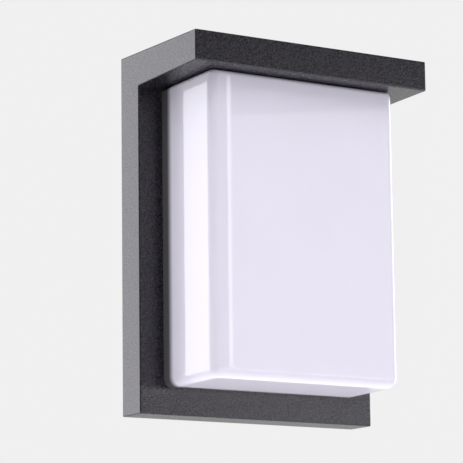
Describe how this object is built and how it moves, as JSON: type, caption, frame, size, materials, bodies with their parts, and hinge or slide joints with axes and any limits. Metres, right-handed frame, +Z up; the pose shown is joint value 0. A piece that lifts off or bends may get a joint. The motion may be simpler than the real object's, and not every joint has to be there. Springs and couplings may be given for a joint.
{
  "type": "outdoor wall lantern",
  "caption": "Outdoor wall lantern: dark cast back tray with a flat visor over a white opal box diffuser, hung on a pressed wall bracket.",
  "frame": {"origin": "middle of the wall bracket's back face, on the wall plane", "axes": "+Z up, +Y into the wall, +X to the right as seen from in front; the lantern faces -Y"},
  "size_m": [0.152, 0.079, 0.2],
  "materials": {
    "powder_coated_casting": "fine-textured anthracite powder coat",
    "opal_polycarbonate": "opal white, satin-gloss moulding",
    "silicone_seal": "matt dark grey silicone",
    "screw_steel": "bright stainless steel",
    "galvanised_sheet": "galvanised pressed sheet",
    "led_board_white": "white solder mask on an aluminium core",
    "heat_pad": "soft blue-grey filled silicone",
    "led_phosphor": "yellow phosphor in a white package",
    "white_nylon": "off-white moulded nylon",
    "black_plastic": "black moulded plastic with a fine grain",
    "circuit_board_green": "green solder mask on glass laminate",
    "ferrite": "matt sintered ferrite",
    "capacitor_sleeve": "black shrink sleeve",
    "tinned_brass": "tin-plated brass",
    "brown_insulation": "brown wire insulation",
    "blue_insulation": "blue wire insulation",
    "green_yellow_insulation": "green and yellow wire insulation",
    "red_insulation": "red wire insulation",
    "black_insulation": "black wire insulation",
    "grommet_rubber": "matt black rubber"
  },
  "bodies": {
    "wall_bracket": {"wall_bracket": "galvanised_sheet"},
    "luminaire": {"housing": "powder_coated_casting", "diffuser": "opal_polycarbonate", "diffuser_gasket": "silicone_seal", "diffuser_screw_1": "screw_steel", "diffuser_screw_2": "screw_steel", "diffuser_screw_3": "screw_steel", "diffuser_screw_4": "screw_steel", "thermal_pad": "heat_pad", "led_board": "led_board_white", "led_1": "led_phosphor", "led_2": "led_phosphor", "led_3": "led_phosphor", "led_4": "led_phosphor", "led_5": "led_phosphor", "led_6": "led_phosphor", "led_7": "led_phosphor", "led_8": "led_phosphor", "led_9": "led_phosphor", "led_10": "led_phosphor", "board_connector": "white_nylon", "board_screw_1": "screw_steel", "board_screw_2": "screw_steel", "board_screw_3": "screw_steel", "board_screw_4": "screw_steel", "driver_base": "white_nylon", "driver_lid": "white_nylon", "driver_circuit_board": "circuit_board_green", "driver_transformer": "ferrite", "driver_capacitor": "capacitor_sleeve", "driver_screw_1": "screw_steel", "driver_screw_2": "screw_steel", "terminal_block": "white_nylon", "terminal_screw_1": "tinned_brass", "terminal_screw_2": "tinned_brass", "terminal_screw_3": "tinned_brass", "earth_ring_tag": "tinned_brass", "earth_screw": "screw_steel", "live_wire": "brown_insulation", "neutral_wire": "blue_insulation", "earth_wire": "green_yellow_insulation", "led_plus_wire": "red_insulation", "led_minus_wire": "black_insulation", "cover_gasket": "silicone_seal", "rear_cover": "black_plastic", "cover_screw_1": "screw_steel", "cover_screw_2": "screw_steel", "cover_screw_3": "screw_steel", "cover_screw_4": "screw_steel", "cover_screw_5": "screw_steel", "cover_screw_6": "screw_steel", "cable_grommet": "grommet_rubber", "vent_plug": "white_nylon", "hanging_stud_1": "screw_steel", "hanging_stud_2": "screw_steel", "hanging_stud_3": "screw_steel", "hanging_stud_4": "screw_steel"},
    "fixing_screw_left": {"fixing_screw_left": "screw_steel"},
    "fixing_screw_right": {"fixing_screw_right": "screw_steel"}
  },
  "joints": [
    {"name": "luminaire_lift", "type": "slide", "parent": "wall_bracket", "child": "luminaire", "axis": [0, 0, 1], "range_m": [0, 0.0085]},
    {"name": "fixing_screw_left_out", "type": "slide", "parent": "luminaire", "child": "fixing_screw_left", "axis": [0, 0, 1], "range_m": [0, 0.012]},
    {"name": "fixing_screw_right_out", "type": "slide", "parent": "luminaire", "child": "fixing_screw_right", "axis": [0, 0, 1], "range_m": [0, 0.012]}
  ]
}
